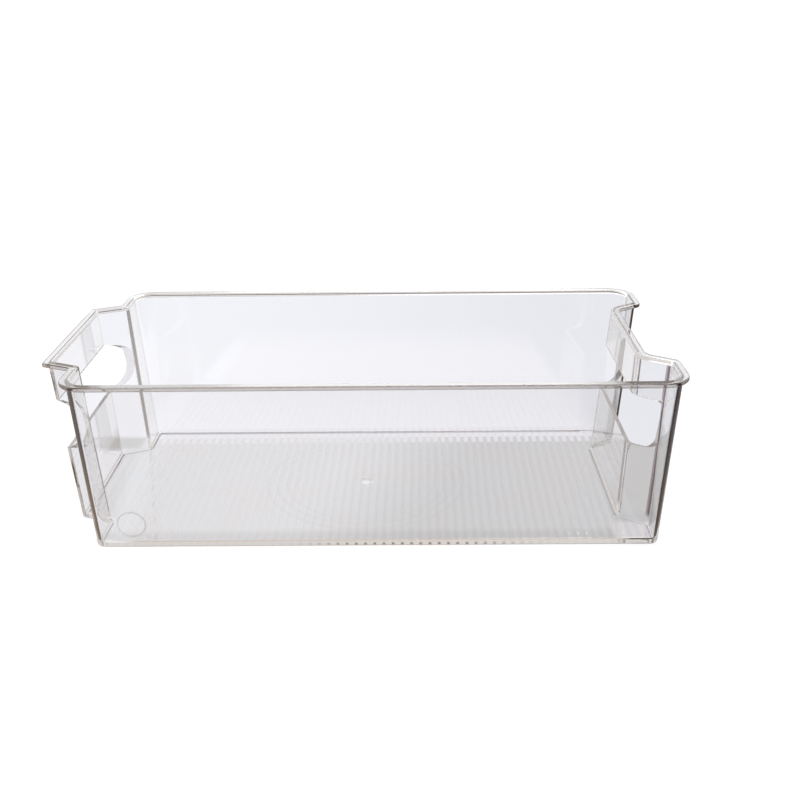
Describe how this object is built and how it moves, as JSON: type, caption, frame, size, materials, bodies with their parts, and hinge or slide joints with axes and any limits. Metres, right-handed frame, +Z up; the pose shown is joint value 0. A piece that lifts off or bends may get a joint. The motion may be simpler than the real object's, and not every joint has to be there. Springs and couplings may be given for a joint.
{
  "type": "drawer organizer bin",
  "caption": "Open clear plastic bin with a rim, drafted walls, a hand hole in each end, a ribbed floor, a bulge on one end and a recess in the other",
  "frame": {"origin": "bottom centre of the whole bin, on the surface that it stands on", "axes": "+X runs along the length from the bulge to the recess, +Y across the width, +Z up out of the mouth"},
  "size_m": [0.315, 0.158, 0.09],
  "materials": {
    "clear_plastic": "clear moulded plastic, polished, with a faint cool tint and darker edges"
  },
  "bodies": {
    "root": {"bin": "clear_plastic"}
  },
  "joints": []
}
